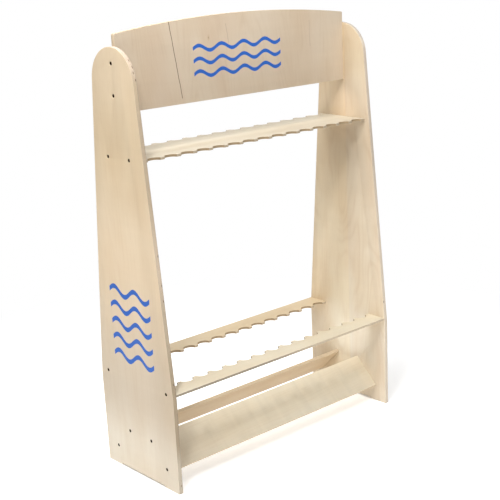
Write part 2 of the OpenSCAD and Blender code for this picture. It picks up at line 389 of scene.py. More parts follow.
def birch_face_group():
    tree, t, inside, out = new_group(
        "Birch face",
        "ShaderNodeTree",
        [
            (VECTOR, "Position", None),
            (COLOR, "Wood", HEADER_WOOD[0][1]),
            (FLOAT, "Seed", 0.0),
            (FLOAT, "Slant", 0.0),
            (FLOAT, "Bands", 0.3),
            (FLOAT, "Figure", 0.15),
            (FLOAT, "Rings", 15.0),
            (FLOAT, "Streaks", 0.07),
            (FLOAT, "Curl", 0.04),
            (FLOAT, "Pink", 0.2),
        ],
        [(COLOR, "Color"), (FLOAT, "Height"), (FLOAT, "Roughness")],
    )
    seed = inside["Seed"]
    spot = t.vector("ADD", inside["Position"], t.xyz(seed, t.math("MULTIPLY", seed, 0.7), seed))
    drift = t.noise(spot, SWAY_WAVES, detail=1.0)
    sway = t.math("MULTIPLY", t.math("SUBTRACT", drift, 0.5), SWAY)
    lean = t.math("MULTIPLY", t.split(inside["Position"])[0], inside["Slant"])
    grain = t.vector("ADD", spot, t.xyz(0.0, t.math("SUBTRACT", sway, lean), 0.0))
    # Broad soft bands and blotches of tone, as the knife leaves them when it peels the log
    bands = t.step(t.noise(grain, BAND_WAVES, detail=2.5), *BAND_SHOWS)
    blotch = t.step(t.noise(spot, BLOTCH_WAVES), *BLOTCH_SHOWS)
    blush = t.step(t.noise(grain, BLUSH_WAVES), *BLUSH_SHOWS)
    color = t.tint(t.math("MULTIPLY", bands, inside["Bands"]), inside["Wood"], TAN_TINT)
    blotch_dark = t.math("MULTIPLY", inside["Bands"], BLOTCH_SHARE)
    color = t.tint(t.math("MULTIPLY", blotch, blotch_dark), color, TAN_TINT)
    color = t.tint(t.math("MULTIPLY", blush, inside["Pink"]), color, PINK_TINT)
    # Growth rings, cut into long loops
    rings = t.math("MULTIPLY", t.noise(grain, RING_WAVES, detail=1.6), inside["Rings"])
    loop = t.math("ABSOLUTE", t.math("SUBTRACT", t.math("FRACT", rings), 0.5))
    unbroken = t.step(t.noise(grain, RING_BREAK_WAVES), *RING_BREAK_SHOWS)
    ring_line = t.math("MULTIPLY", t.step(loop, *RING_SHOWS), unbroken)
    color = t.tint(t.math("MULTIPLY", ring_line, inside["Figure"]), color, LINE_TINT)
    # Long darker streaks, a few millimetres wide
    streak = t.step(t.noise(grain, STREAK_WAVES, detail=3.0, rough=0.6), *STREAK_SHOWS)
    color = t.tint(t.math("MULTIPLY", streak, inside["Streaks"]), color, LINE_TINT)
    # Fine fibres and short pores
    fibre = t.noise(grain, FIBRE_WAVES, detail=3.0, rough=0.6)
    fibre_line = t.step(fibre, *FIBRE_SHOWS)
    pore = t.step(t.noise(grain, PORE_WAVES, detail=1.0), *PORE_SHOWS)
    color = t.tint(t.math("MULTIPLY", fibre_line, FIBRE_DARK), color, LINE_TINT)
    color = t.tint(t.math("MULTIPLY", pore, PORE_DARK), color, LINE_TINT)
    # Curl: soft bands of silk across the grain
    curl = t.noise(grain, CURL_WAVES, detail=1.5)
    silk = t.math("ADD", 1.0, t.math("MULTIPLY", t.math("SUBTRACT", curl, 0.5), inside["Curl"]))
    color = t.tint(1.0, color, t.xyz(silk, silk, silk))
    t.link(color, out["Color"])
    height = t.math("SUBTRACT", t.math("MULTIPLY", fibre, FIBRE_HIGH), t.math("MULTIPLY", pore, PORE_DEEP))
    t.link(height, out["Height"])
    rough = t.math("ADD", WOOD_ROUGH, t.math("MULTIPLY", bands, BAND_ROUGH))
    t.link(t.math("ADD", rough, t.math("MULTIPLY", pore, PORE_ROUGH)), out["Roughness"])
    return tree


def ply_edge_group():
    tree, t, inside, out = new_group(
        "Ply edge",
        "ShaderNodeTree",
        [
            (VECTOR, "Position", None),
            (COLOR, "Tint", PLAIN_RIM[0][1]),
            (FLOAT, "Seed", 0.0),
            (FLOAT, "Thickness", 12 * MM),
            (FLOAT, "Plies", PANEL_PLIES),
        ],
        [(COLOR, "Color"), (FLOAT, "Height")],
    )
    seed = inside["Seed"]
    spot = t.vector("ADD", inside["Position"], t.xyz(seed, seed, 0.0))
    depth = t.split(inside["Position"])[2]
    share = t.math("ADD", t.math("DIVIDE", depth, inside["Thickness"]), 0.5)
    ply = t.math("MULTIPLY", share, inside["Plies"])
    wander = t.math("MULTIPLY", t.math("SUBTRACT", t.noise(spot, PLY_WANDER_WAVES), 0.5), PLY_WANDER)
    ply = t.math("ADD", ply, wander)
    cross = t.math("MODULO", t.math("FLOOR", ply), 2.0)
    within = t.math("ABSOLUTE", t.math("SUBTRACT", t.math("FRACT", ply), 0.5))
    glue = t.step(within, *GLUE_LINE)
    speck = t.noise(spot, PLY_SPECK_WAVES, detail=1.0)
    streak = t.noise(spot, PLY_STREAK_WAVES)
    color = t.mix(t.math("MULTIPLY", cross, PLY_CROSS_DARK), PLY_PALE, PLY_BROWN)
    for mark in (speck, streak):
        shown = t.math("MULTIPLY", t.step(mark, *PLY_MARK_SHOWS), PLY_MARK_DARK)
        color = t.mix(shown, color, PLY_BROWN)
    color = t.mix(t.math("MULTIPLY", glue, GLUE_DARK), color, PLY_GLUE)
    color = t.tint(1.0, color, inside["Tint"])
    t.link(color, out["Color"])
    ridge = t.math("SUBTRACT", t.math("MULTIPLY", speck, PLY_SPECK_HIGH), t.math("MULTIPLY", glue, GLUE_DEEP))
    t.link(ridge, out["Height"])
    return tree


def seam_group():
    """A thin open joint between two veneers: a slanted line that crosses the board."""
    tree, t, inside, out = new_group(
        "Veneer seam",
        "ShaderNodeTree",
        [
            (VECTOR, "Position", None),
            (FLOAT, "Across", 0.0),
            (FLOAT, "Slant", 0.0),
            (FLOAT, "Width", 0.0006),
            (FLOAT, "From", -1.0),
            (FLOAT, "To", 1.0),
        ],
        [(FLOAT, "Mask")],
    )
    along, across, _ = t.split(inside["Position"])
    shiver = t.math("SUBTRACT", t.noise(inside["Position"], SEAM_SHIVER_WAVES), 0.5)
    shiver = t.math("MULTIPLY", shiver, SEAM_SHIVER)
    line = t.math("ADD", t.math("ADD", inside["Across"], t.math("MULTIPLY", along, inside["Slant"])), shiver)
    off = t.math("ABSOLUTE", t.math("SUBTRACT", across, line))
    core = t.math("MULTIPLY", inside["Width"], SEAM_SHARP)
    near = t.step(off, core, inside["Width"], 1.0, 0.0)
    begun = t.math("GREATER_THAN", along, inside["From"])
    unended = t.math("LESS_THAN", along, inside["To"])
    t.link(t.math("MULTIPLY", near, t.math("MULTIPLY", begun, unended)), out["Mask"])
    return tree


def knot_group():
    """A pin knot: a dark core inside a ring of darker wood, drawn out along the grain."""
    tree, t, inside, out = new_group(
        "Pin knot",
        "ShaderNodeTree",
        [
            (VECTOR, "Position", None),
            (VECTOR, "Middle", None),
            (VECTOR, "Squeeze", KNOT_SQUEEZE),
            (FLOAT, "Radius", 0.002),
        ],
        [(FLOAT, "Core"), (FLOAT, "Ring")],
    )
    away = t.vector("MULTIPLY", t.vector("SUBTRACT", inside["Position"], inside["Middle"]), inside["Squeeze"])
    reach = t.math("DIVIDE", t.vector("LENGTH", away), inside["Radius"])
    t.link(t.step(reach, *KNOT_CORE, 1.0, 0.0), out["Core"])
    t.link(t.step(reach, *KNOT_RING, 1.0, 0.0), out["Ring"])
    return tree


def waves_group():
    """A stack of printed wave lines, the same distance apart, inside a round-ended field."""
    tree, t, inside, out = new_group(
        "Printed waves",
        "ShaderNodeTree",
        [
            (FLOAT, "Across", 0.0),
            (FLOAT, "Up", 0.0),
            (FLOAT, "Half width", 0.13),
            (FLOAT, "Half height", 0.03),
            (FLOAT, "Wavelength", 0.065),
            (FLOAT, "Swing", 0.006),
            (FLOAT, "Spacing", 0.02),
            (FLOAT, "Line", 0.0035),
        ],
        [(FLOAT, "Mask")],
    )
    across, up = inside["Across"], inside["Up"]
    phase = t.math("MULTIPLY", t.math("DIVIDE", across, inside["Wavelength"]), 2 * math.pi)
    wave = t.math("MULTIPLY", t.math("SINE", phase), inside["Swing"])
    level = t.math("DIVIDE", t.math("SUBTRACT", up, wave), inside["Spacing"])
    off = t.math("MULTIPLY", t.math("SUBTRACT", level, t.math("ROUND", level)), inside["Spacing"])
    line = t.math("LESS_THAN", t.math("ABSOLUTE", off), inside["Line"])
    short = t.math("LESS_THAN", t.math("ABSOLUTE", across), inside["Half width"])
    low = t.math("LESS_THAN", t.math("ABSOLUTE", t.math("SUBTRACT", up, wave)), inside["Half height"])
    t.link(t.math("MULTIPLY", line, t.math("MULTIPLY", short, low)), out["Mask"])
    return tree


birch_face = birch_face_group()
ply_edge = ply_edge_group()
veneer_seam = seam_group()
pin_knot = knot_group()
printed_waves = waves_group()


def new_material(name):
    material = bpy.data.materials.new(name)
    material.use_nodes = True
    material.node_tree.nodes.clear()
    t = Tree(material.node_tree)
    surface = t.add("ShaderNodeBsdfPrincipled")
    t.add("ShaderNodeOutputMaterial", {"Surface": surface.outputs[0]})
    return material, t, surface


def tone_along(t, along, tones):
    """The colour at a place along the board, mixed from (place, colour) pairs in rising order."""
    color = tones[0][1]
    for (low, _), (high, tone) in zip(tones, tones[1:]):
        color = t.mix(t.step(along, low, high), color, tone)
    return color


def birch_plywood(
    name, grain, middle, thickness, plies, wood_and_shade, rims=PLAIN_RIM, marks=None, gaps=(), half_width=None,
    far=0.0, **look
):
    """Birch plywood. grain is the rotation that turns the board's own axes to along, across and through;
    gaps are (along, through) places of holes in the plies, which show at the rims;
    half_width is given for a notched board, whose notch walls are browner than its tips;
    far is how dark the painted shade on the arris of the through side is, and look sets the named inputs of
    the birch face."""
    material, t, surface = new_material(name)
    here = t.add("ShaderNodeTexCoord").outputs
    turned = t.add(
        "ShaderNodeMapping",
        {"Vector": here["Object"], "Location": grain @ -middle, "Rotation": grain.to_euler()},
        vector_type="POINT",
    ).outputs[0]
    facing = t.add(
        "ShaderNodeMapping", {"Vector": here["Normal"], "Rotation": grain.to_euler()}, vector_type="NORMAL"
    ).outputs[0]
    edge = t.step(t.math("ABSOLUTE", t.split(facing)[2]), *RIM_TURN)
    along = t.split(turned)[0]
    # The Wood input takes the board's tones, with the painted light and shade that some of them hold
    inputs = {"Position": turned, "Wood": tone_along(t, along, wood_and_shade), **look}
    face = t.group(birch_face, inputs)
    inputs = {"Position": turned, "Tint": tone_along(t, along, rims), "Seed": look["Seed"]}
    rim = t.group(ply_edge, {**inputs, "Thickness": thickness, "Plies": plies})
    color, height = face["Color"], face["Height"]
    if marks:
        color, height = marks(t, turned, color, height)
    rim_color = rim["Color"]
    for gap_along, gap_through in gaps:
        inputs = {"Position": turned, "Middle": (gap_along, 0.0, gap_through)}
        gap = t.group(pin_knot, {**inputs, "Squeeze": RIM_GAP_SQUEEZE, "Radius": RIM_GAP_R})
        rim_color = t.mix(gap["Core"], rim_color, VOID_DARK)
    if half_width:
        across = t.math("ABSOLUTE", t.split(turned)[1])
        in_notch = t.step(across, half_width - NOTCH_WALL_FROM, half_width, 1.0, 0.0)
        rim_color = t.tint(in_notch, rim_color, NOTCH_WALL_TINT)
    color = t.mix(edge, color, rim_color)
    # Painted shade: the arris on the through side, which turns away from the light, is darkened
    if far:
        turn = t.split(facing)[2]
        arris = t.math("MULTIPLY", t.step(turn, *FAR_ARRIS_SHADE_FROM), t.step(turn, *FAR_ARRIS_SHADE_TO, 1.0, 0.0))
        color = t.tint(t.math("MULTIPLY", arris, far), color, FAR_ARRIS_SHADE_TINT)
    height = t.mix(edge, height, rim["Height"])
    rough = t.math("ADD", face["Roughness"], t.math("MULTIPLY", edge, RIM_ROUGH))
    bump = t.add("ShaderNodeBump", {"Height": height, "Strength": BUMP_STRENGTH, "Distance": BUMP_HEIGHT})
    t.link(color, surface.inputs["Base Color"])
    t.link(rough, surface.inputs["Roughness"])
    t.link(bump.outputs[0], surface.inputs["Normal"])
    surface.inputs["Specular IOR Level"].default_value = WOOD_GLOSS
    return material


def print_waves(t, spot, color, middle, sizes):
    """Prints wave lines in blue on the outer side of the board, which is where through is below zero."""
    along, across, through = t.split(spot)
    place = {"Across": t.math("SUBTRACT", across, middle[0]), "Up": t.math("SUBTRACT", along, middle[1])}
    printed = t.group(printed_waves, {**place, **sizes})["Mask"]
    outer = t.math("LESS_THAN", through, 0.0)
    return t.mix(t.math("MULTIPLY", printed, outer), color, INK_BLUE)


def header_marks(t, spot, color, height):
    """Seams, a knot and the print, all on the front face, which is where through is below zero."""
    front = t.math("LESS_THAN", t.split(spot)[2], 0.0)
    for sizes, darkness in HEADER_SEAMS:
        seam = t.group(veneer_seam, {"Position": spot, **sizes})["Mask"]
        line = t.math("MULTIPLY", seam, t.math("MULTIPLY", front, darkness))
        color = t.mix(line, color, SEAM_DARK)
        height = t.math("SUBTRACT", height, t.math("MULTIPLY", line, SEAM_DEEP))
    knot = t.group(pin_knot, {"Position": spot, "Middle": HEADER_KNOT_AT, "Radius": HEADER_KNOT_R})
    ring = t.math("MULTIPLY", knot["Ring"], t.math("MULTIPLY", front, KNOT_RING_DARK))
    core = t.math("MULTIPLY", knot["Core"], t.math("MULTIPLY", front, KNOT_CORE_DARK))
    color = t.tint(ring, color, LINE_TINT)
    color = t.mix(core, color, SEAM_DARK)
    return print_waves(t, spot, color, HEADER_PRINT_AT, HEADER_PRINT), height


def left_panel_marks(t, spot, color, height):
    """The front strip of the outer face is a little darker, and the print is in the middle."""
    front = t.step(t.split(spot)[1], *FRONT_STRIP)
    color = t.tint(front, color, FRONT_STRIP_TINT)
    return print_waves(t, spot, color, PANEL_PRINT_AT, PANEL_PRINT), height


def right_panel_marks(t, spot, color, height):
    """The face is laid with two sheets of veneer, the front one greyer, with a pale patch near the shelf that
    behind the seam is painted light in the header's shadow.
    """
    across = t.split(spot)[1]
    color = t.tint(t.step(across, *FRONT_SHEET), color, FRONT_SHEET_TINT)
    from_pale_wood_and_light = t.vector("MULTIPLY", t.vector("SUBTRACT", spot, PALE_WOOD_AND_LIGHT_AT), (1.0, 1.0, 0.0))
    # Pale wood in front of the seam, and painted light in the header's shadow behind it
    pale = t.step(t.vector("LENGTH", from_pale_wood_and_light), *PALE_WOOD_AND_LIGHT_REACH, 1.0, 0.0)
    pale = t.math("MULTIPLY", pale, t.step(across, *PALE_WOOD_AND_LIGHT_CUT, PAINTED_LIGHT_BEHIND, 1.0))
    return t.tint(pale, color, PALE_WOOD_AND_LIGHT_TINT), height


def board_axes(along, across, through):
    """The rotation that turns X, Y, Z into along the grain, across it and through the board."""
    axes = Matrix((along, across, through))
    assert abs(axes.determinant() - 1) < ROUNDING, "a board's axes are a plain rotation"
    return axes


UPRIGHT_PANEL = board_axes((0, 0, 1), (0, -1, 0), (1, 0, 0))
UPRIGHT_HEADER = board_axes((0, 0, 1), (1, 0, 0), (0, 1, 0))
LEVEL_BOARD = board_axes((1, 0, 0), (0, 1, 0), (0, 0, 1))
RUN, RISE = math.cos(BUTT_SLOPE), math.sin(BUTT_SLOPE)
FRONT_SLOPE = board_axes((1, 0, 0), (0, RUN, RISE), (0, -RISE, RUN))
REAR_SLOPE = board_axes((1, 0, 0), (0, RUN, -RISE), (0, RISE, RUN))


def middle_of(node):
    low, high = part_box(node)
    return (low + high) / 2


def thickness_of(node, axis):
    low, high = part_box(node)
    return (high - low)[axis]


def depth_of(node):
    return thickness_of(node, 1)


PANEL_T = thickness_of("left_side_panel", 0)
HEADER_T = thickness_of("header_board", 1)
SHELF_T = thickness_of("upper_rod_shelf", 2)
RAIL_T = thickness_of("front_rod_rail", 2)


def header_origin():
    low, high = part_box("header_board")
    return Vector(((low.x + high.x) / 2, (low.y + high.y) / 2, low.z))


MATERIALS = {
    "left_side_panel": birch_plywood(
        "birch left panel", UPRIGHT_PANEL, middle_of("left_side_panel"), PANEL_T, PANEL_PLIES,
        LEFT_PANEL_WOOD, LEFT_PANEL_RIM, left_panel_marks, LEFT_PANEL_GAPS, far=1.0,
        Seed=3.7, Bands=0.25, Figure=0.07, Pink=0.15),
    "right_side_panel": birch_plywood(
        "birch right panel", UPRIGHT_PANEL, middle_of("right_side_panel"), PANEL_T, PANEL_PLIES,
        RIGHT_PANEL_WOOD_LIGHT_AND_SHADE, RIGHT_PANEL_RIM, right_panel_marks, RIGHT_PANEL_GAPS,
        Seed=11.2, Bands=0.4, Figure=0.24, Rings=22.0, Pink=0.4),
    "header_board": birch_plywood(
        "birch header", UPRIGHT_HEADER, header_origin(), HEADER_T, PANEL_PLIES,
        HEADER_WOOD, marks=header_marks,
        Seed=6.1, Slant=-0.15, Bands=0.34, Figure=0.17, Rings=26.0, Streaks=0.03, Curl=0.06, Pink=0.3),
    "upper_rod_shelf": birch_plywood(
        "birch shelf", LEVEL_BOARD, middle_of("upper_rod_shelf"), SHELF_T, THIN_PLIES,
        SHELF_WOOD, SHELF_RIM, half_width=depth_of("upper_rod_shelf") / 2,
        Seed=8.4, Figure=0.1, Pink=0.1),
    "front_rod_rail": birch_plywood(
        "birch front rail", LEVEL_BOARD, middle_of("front_rod_rail"), RAIL_T, THIN_PLIES,
        FRONT_RAIL_WOOD, FRONT_RAIL_RIM, half_width=depth_of("front_rod_rail") / 2,
        Seed=14.9, Figure=0.1, Pink=0.1),
    "rear_rod_rail": birch_plywood(
        "birch rear rail", LEVEL_BOARD, middle_of("rear_rod_rail"), RAIL_T, THIN_PLIES,
        REAR_RAIL_WOOD, REAR_RAIL_RIM, half_width=depth_of("rear_rod_rail") / 2,
        Seed=17.3, Figure=0.1, Pink=0.15),
    "front_butt_board": birch_plywood(
        "birch front butt board", FRONT_SLOPE, middle_of("front_butt_board"), BUTT_T, BUTT_PLIES,
        FRONT_BUTT_WOOD_AND_SHADE, Seed=21.6, Figure=0.08, Curl=0.14, Pink=0.1),
    "rear_butt_board": birch_plywood(
        "birch rear butt board", REAR_SLOPE, middle_of("rear_butt_board"), BUTT_T, BUTT_PLIES,
        REAR_BUTT_WOOD, Seed=25.5, Figure=0.12, Pink=0.4),
}


def black_screw_material():
    material, t, surface = new_material("black screw")
    here = t.add("ShaderNodeTexCoord").outputs["Object"]
    patch = t.noise(here, STEEL_WAVES, detail=3.0)
    rough = t.math("ADD", STEEL_ROUGH, t.math("MULTIPLY", patch, STEEL_ROUGH_MORE))
    t.link(t.mix(patch, STEEL_BLACK, STEEL_WORN), surface.inputs["Base Color"])
    t.link(rough, surface.inputs["Roughness"])
    surface.inputs["Specular IOR Level"].default_value = STEEL_GLOSS
    return material


SCREW_BLACK = black_screw_material()


# Geometry

def new_object(name, data):
    made = bpy.data.objects.new(name, data)
    bpy.context.scene.collection.objects.link(made)
    return made


def finish_piece(piece, node):
    """The piece takes the node's place and rides on its body."""
    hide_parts(node)
    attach(piece, BODY)
    return piece


def screw_places(node):
    """Where the heads of a screw group are: the corners of its box, a head's radius in."""
    low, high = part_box(node)
    head_x = low.x if low.x < 0 else high.x
    near = Vector((head_x, low.y + HEAD_R, low.z + HEAD_R))
    far = Vector((head_x, high.y - HEAD_R, high.z - HEAD_R))
    if "rear_butt" in node:
        near.y, far.y = far.y, near.y
    return [near] if (far - near).length < HEAD_R else [near, far]


SCREW_NODES = sorted(n for n in nodes if "_screw" in n)
SCREW_AXES = [place.yz for n in SCREW_NODES for place in screw_places(n)]


def soften(piece, arris):
    """Rounds the sharp arrises of a board, and those of its screw holes and feet only a little."""
    build = bmesh.new()
    build.from_mesh(piece.data)
    weight = build.edges.layers.float.new("bevel_weight_edge")
    for edge in build.edges:
        if len(edge.link_faces) != 2 or edge.calc_face_angle() < ARRIS_FROM:
            continue
        ends = [vert.co for vert in edge.verts]
        in_hole = any(all((end.yz - axis).length < HOLE_ROOM for end in ends) for axis in SCREW_AXES)
        at_foot = max(end.z for end in ends) < FOOT_ROOM
        edge[weight] = SLIGHT_ARRIS / arris if in_hole or at_foot else 1.0
    build.to_mesh(piece.data)
    build.free()
    for face in piece.data.polygons:
        face.use_smooth = True
    bevel = piece.modifiers.new("arris", "BEVEL")
    bevel.width = arris
    bevel.segments = ARRIS_STEPS
    bevel.limit_method = "WEIGHT"
    bevel.harden_normals = True


def board_from_node(node, arris):
    """A board with rounded arrises, in the outline that its node has."""
    build = bmesh.new()
    build.from_mesh(nodes[node].data)
    bmesh.ops.remove_doubles(build, verts=build.verts, dist=MERGE_WITHIN)
    bmesh.ops.dissolve_limit(build, angle_limit=FLAT_WITHIN, verts=build.verts, edges=build.edges)
    mesh = bpy.data.meshes.new("sanded_" + node)
    build.to_mesh(mesh)
    build.free()
    mesh.materials.clear()
    mesh.materials.append(MATERIALS[node])
    piece = new_object("sanded_" + node, mesh)
    soften(piece, arris)
    return finish_piece(piece, node)


def set_inputs(modifier, values):
    """Sets a Geometry Nodes modifier's named inputs by their identifiers."""
    for item in modifier.node_group.interface.items_tree:
        if item.item_type == "SOCKET" and item.in_out == "INPUT" and item.name in values:
            modifier[item.identifier] = values[item.name]


def made_by(tree, mesh, values, name):
    """The plain mesh that a Geometry Nodes tree makes from mesh."""
    maker = new_object("maker", mesh)
    modifier = maker.modifiers.new("tree", "NODES")
    modifier.node_group = tree
    set_inputs(modifier, values)
    depsgraph = bpy.context.evaluated_depsgraph_get()
    result = bpy.data.meshes.new_from_object(maker.evaluated_get(depsgraph), depsgraph=depsgraph)
    result.name = name
    bpy.data.objects.remove(maker)
    return result


def notched_board_tree():
    """A board with a row of round notches in its front edge, its rear edge or both."""
    tree, t, inside, out = new_group(
        "Notched board",
        "GeometryNodeTree",
        [
            (GEOMETRY, "Screw places", None),
            (VECTOR, "Size", None),
            (VECTOR, "Middle", None),
            (FLOAT, "Notch radius", NOTCH_R),
            (FLOAT, "Notch depth", RAIL_NOTCH_DEEP),
            (FLOAT, "Notch pitch", NOTCH_PITCH),
            (INTEGER, "Notch count", NOTCHES_IN_ROW),
            (SWITCH, "Front notches", True),
            (SWITCH, "Rear notches", True),
            (FLOAT, "Pilot radius", PILOT_R),
            (FLOAT, "Pilot length", PILOT_L),
            (MATERIAL, "Finish", None),
        ],
        [(GEOMETRY, "Board")],
    )
    _, size_y, size_z = t.split(inside["Size"])
    board = t.add("GeometryNodeMeshCube", {"Size": inside["Size"]}).outputs["Mesh"]
    board = t.add("GeometryNodeTransform", {"Geometry": board, "Translation": inside["Middle"]}).outputs[0]
    cut_z = t.math("MULTIPLY", size_z, CUT_THROUGH)
    cutter = t.add(
        "GeometryNodeMeshCylinder",
        {"Vertices": NOTCH_SIDES, "Radius": inside["Notch radius"], "Depth": cut_z},
    ).outputs["Mesh"]
    steps = t.math("SUBTRACT", inside["Notch count"], 1.0)
    start_x = t.math("MULTIPLY", t.math("MULTIPLY", steps, inside["Notch pitch"]), -0.5)
    outside = t.math("SUBTRACT", inside["Notch radius"], inside["Notch depth"])
    out_y = t.math("ADD", t.math("MULTIPLY", size_y, 0.5), outside)
    cutters = []
    for label, sign in (("Front notches", -1.0), ("Rear notches", 1.0)):
        start = t.vector("ADD", inside["Middle"], t.xyz(start_x, t.math("MULTIPLY", out_y, sign), 0.0))
        row = t.add(
            "GeometryNodeMeshLine",
            {"Count": inside["Notch count"], "Start Location": start,
             "Offset": t.xyz(inside["Notch pitch"], 0.0, 0.0)},
            mode="OFFSET",
        ).outputs[0]
        placed = t.add(
            "GeometryNodeInstanceOnPoints", {"Points": row, "Selection": inside[label], "Instance": cutter}
        ).outputs[0]
        cutters.append(placed)
    pilot = t.add(
        "GeometryNodeMeshCylinder",
        {"Vertices": PILOT_SIDES, "Radius": inside["Pilot radius"], "Depth": inside["Pilot length"]},
    ).outputs["Mesh"]
    pilot = t.add("GeometryNodeTransform", {"Geometry": pilot, "Rotation": (0, math.pi / 2, 0)}).outputs[0]
    inputs = {"Points": inside["Screw places"], "Instance": pilot}
    cutters.append(t.add("GeometryNodeInstanceOnPoints", inputs).outputs[0])
    cut = t.add("GeometryNodeJoinGeometry", {0: cutters}).outputs[0]
    cut = t.add("GeometryNodeRealizeInstances", {0: cut}).outputs[0]
    board = t.difference(board, cut)
    board = t.add("GeometryNodeRealizeInstances", {0: board}).outputs[0]
    board = t.add("GeometryNodeSetMaterial", {"Geometry": board, "Material": inside["Finish"]}).outputs[0]
    t.link(board, out["Board"])
    return tree


def screw_tree():
    """Screws on the given points, along X, each turned a little differently, with thread and recess."""
    tree, t, inside, out = new_group(
        "Screws on places",
        "GeometryNodeTree",
        [
            (GEOMETRY, "Screw places", None),
            (OBJECT, "Screw", None),
            (FLOAT, "Length", SCREW_L),
            (FLOAT, "Shank radius", SHANK_R),
            (FLOAT, "Thread from", THREAD_FROM),
            (FLOAT, "Thread pitch", THREAD_PITCH),
            (FLOAT, "Thread height", THREAD_HEIGHT),
            (FLOAT, "Tip length", TIP_L),
            (FLOAT, "Recess length", RECESS_L),
            (FLOAT, "Recess width", RECESS_W),
            (FLOAT, "Recess depth", RECESS_DEEP),
            (FLOAT, "Heading", 0.0),
            (INTEGER, "Seed", 1),
            (MATERIAL, "Finish", None),
        ],
        [(GEOMETRY, "Screws")],
    )
    body = t.add("GeometryNodeObjectInfo", {"Object": inside["Screw"]}, transform_space="ORIGINAL")
    body = body.outputs["Geometry"]
    deep = t.math("MULTIPLY", inside["Recess depth"], 2.0)
    arms = []
    for size in (
        t.xyz(deep, inside["Recess length"], inside["Recess width"]),
        t.xyz(deep, inside["Recess width"], inside["Recess length"]),
    ):
        arms.append(t.add("GeometryNodeMeshCube", {"Size": size}).outputs["Mesh"])
    body = t.difference(body, arms)
    plain = t.math("ADD", inside["Thread from"], inside["Tip length"])
    threaded = t.math("SUBTRACT", inside["Length"], plain)
    sunk = t.math("MULTIPLY", inside["Thread height"], THREAD_SUNK)
    core = t.math("SUBTRACT", inside["Shank radius"], sunk)
    spiral = t.add(
        "GeometryNodeCurveSpiral",
        {
            "Resolution": THREAD_STEPS,
            "Rotations": t.math("DIVIDE", threaded, inside["Thread pitch"]),
            "Start Radius": core,
            "End Radius": core,
            "Height": threaded,
        },
    ).outputs[0]
    ridge = t.add(
        "GeometryNodeCurvePrimitiveCircle", {"Resolution": THREAD_SIDES, "Radius": inside["Thread height"]}
    ).outputs[0]
    inputs = {"Curve": spiral, "Profile Curve": ridge, "Fill Caps": True}
    thread = t.add("GeometryNodeCurveToMesh", inputs).outputs[0]
    thread = t.add(
        "GeometryNodeTransform",
        {
            "Geometry": thread,
            "Translation": t.xyz(inside["Thread from"], 0.0, 0.0),
            "Rotation": (0, math.pi / 2, 0),
        },
    ).outputs[0]
    screw = t.add("GeometryNodeJoinGeometry", {0: [body, thread]}).outputs[0]
    turn = t.add(
        "FunctionNodeRandomValue", {2: 0.0, 3: math.pi / 2, 8: inside["Seed"]}, data_type="FLOAT"
    ).outputs[1]
    heading = t.add("FunctionNodeEulerToRotation", {0: t.xyz(turn, 0.0, inside["Heading"])}).outputs[0]
    placed = t.add(
        "GeometryNodeInstanceOnPoints",
        {"Points": inside["Screw places"], "Instance": screw, "Rotation": heading},
    ).outputs[0]
    placed = t.add("GeometryNodeRealizeInstances", {0: placed}).outputs[0]
    placed = t.add("GeometryNodeSetMaterial", {"Geometry": placed, "Material": inside["Finish"]}).outputs[0]
    t.link(placed, out["Screws"])
    return tree


notched_board = notched_board_tree()
screws_on_places = screw_tree()


def points_mesh(name, points):
    mesh = bpy.data.meshes.new(name)
    mesh.from_pydata(points, [], [])
    return mesh


def notch_half_width(deep):
    return math.sqrt(NOTCH_R ** 2 - (NOTCH_R - deep) ** 2)


def notched(node, deep, front, rear, screw_nodes):
    """A board with its rows of notches, the same number in each, and its screws' pilot holes."""
    low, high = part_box(node)
    size = high - low
    half_w = max(notch_half_width(SHELF_NOTCH_DEEP), notch_half_width(RAIL_NOTCH_DEEP))
    room = size.x - 2 * NOTCH_END_MIN - 2 * half_w
    places = [place for screws in screw_nodes for place in screw_places(screws)]
    screw_low, screw_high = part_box(screw_nodes[0])
    mesh = made_by(
        notched_board,
        points_mesh("pilot places", places),
        {
            "Size": size,
            "Middle": (low + high) / 2,
            "Notch depth": deep,
            "Notch count": math.floor(room / NOTCH_PITCH) + 1,
            "Front notches": front,
            "Rear notches": rear,
            "Pilot length": 2 * (screw_high.x - screw_low.x + PILOT_EXTRA),
            "Finish": MATERIALS[node],
        },
        "sanded_" + node,
    )
    piece = new_object("sanded_" + node, mesh)
    soften(piece, NOTCHED_ARRIS)
    return finish_piece(piece, node)


def screw_body(length):
    """The smooth turned body of a screw along X, with the top of its head at x = 0."""
    outline = [
        (0.0, HEAD_R - HEAD_RIM_IN),
        (HEAD_RIM_FROM, HEAD_R),
        (HEAD_RIM_TO, HEAD_R),
        (HEAD_R - SHANK_R + HEAD_RIM_TO, SHANK_R),
        (THREAD_FROM, SHANK_R),
        (THREAD_FROM + ROOT_RUN, ROOT_R),
        (length - TIP_L, ROOT_R),
        (length, TIP_R),
    ]
    angles = [2 * math.pi * i / SCREW_SIDES for i in range(SCREW_SIDES)]
    build = bmesh.new()
    rings = []
    for x, radius in outline:
        rings.append([build.verts.new((x, radius * math.cos(a), radius * math.sin(a))) for a in angles])
    for first, second in zip(rings, rings[1:]):
        for i in range(SCREW_SIDES):
            j = (i + 1) % SCREW_SIDES
            build.faces.new((first[i], first[j], second[j], second[i]))
    build.faces.new(rings[0])
    build.faces.new(rings[-1])
    bmesh.ops.recalc_face_normals(build, faces=build.faces)
    mesh = bpy.data.meshes.new("screw body")
    build.to_mesh(mesh)
    build.free()
    return mesh


